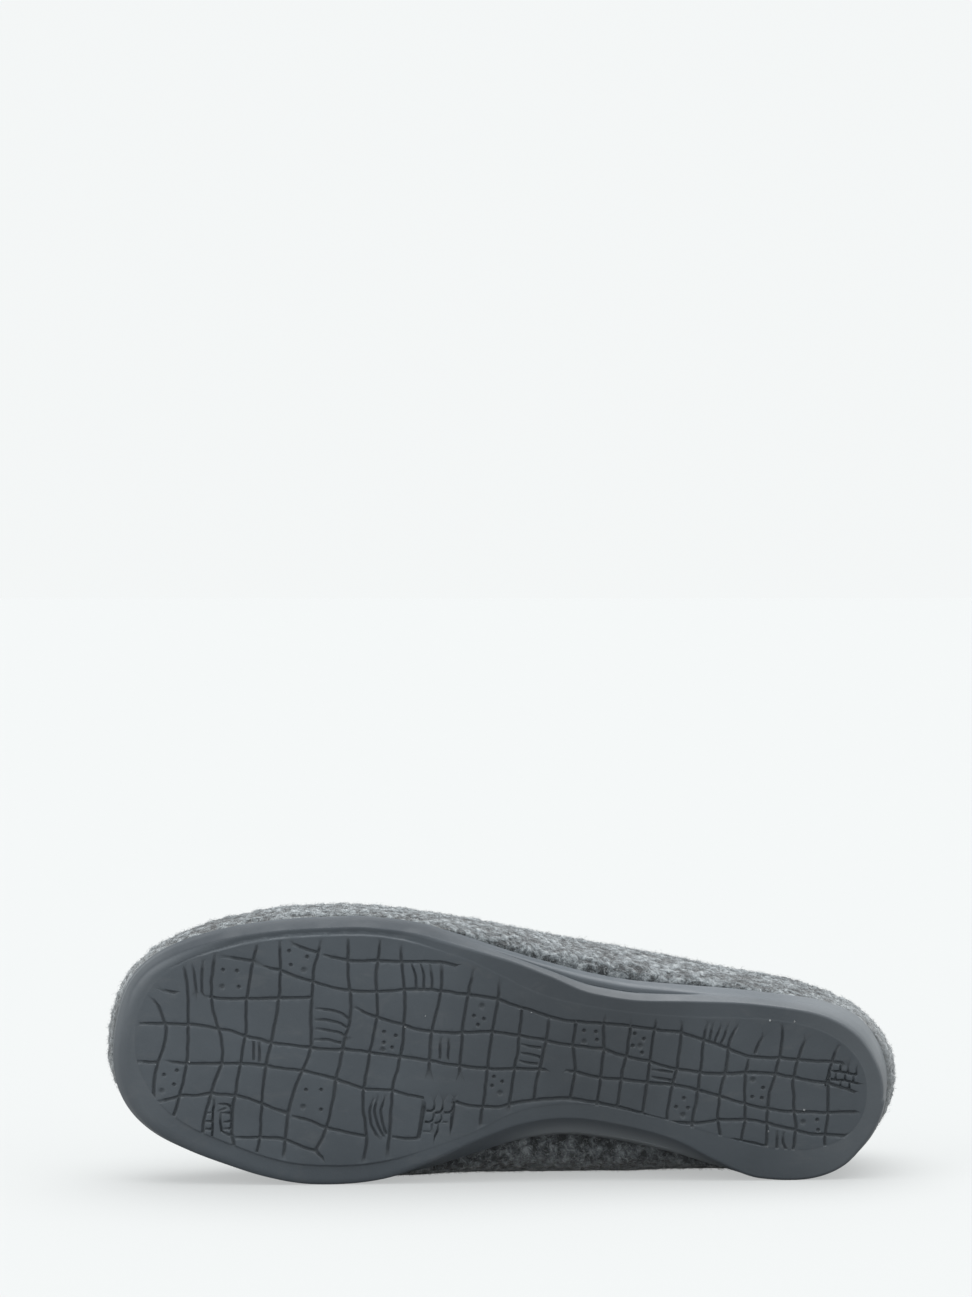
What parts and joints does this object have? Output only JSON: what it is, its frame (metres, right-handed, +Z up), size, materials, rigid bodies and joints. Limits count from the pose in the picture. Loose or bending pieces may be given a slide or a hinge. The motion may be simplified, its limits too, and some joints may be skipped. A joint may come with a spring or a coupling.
{
  "type": "felt slipper",
  "caption": "Low slip-on felt slipper for the left foot, closed at heel and toe, on a flat moulded rubber sole, lying on its inner side.",
  "frame": {"origin": "centre of the bounding box, on the floor that the slipper lies on", "axes": "+Z up, toe towards -X, heel towards +X, tread facing -Y and the collar +Y; the inner side is down"},
  "size_m": [0.2592, 0.07, 0.0893],
  "materials": {
    "outsole": "satin slate-grey moulded rubber",
    "upper": "matt mottled grey felt",
    "insole": "matt dark grey felt"
  },
  "bodies": {
    "root": {"outsole": "outsole", "upper": "upper", "insole": "insole"}
  },
  "joints": []
}
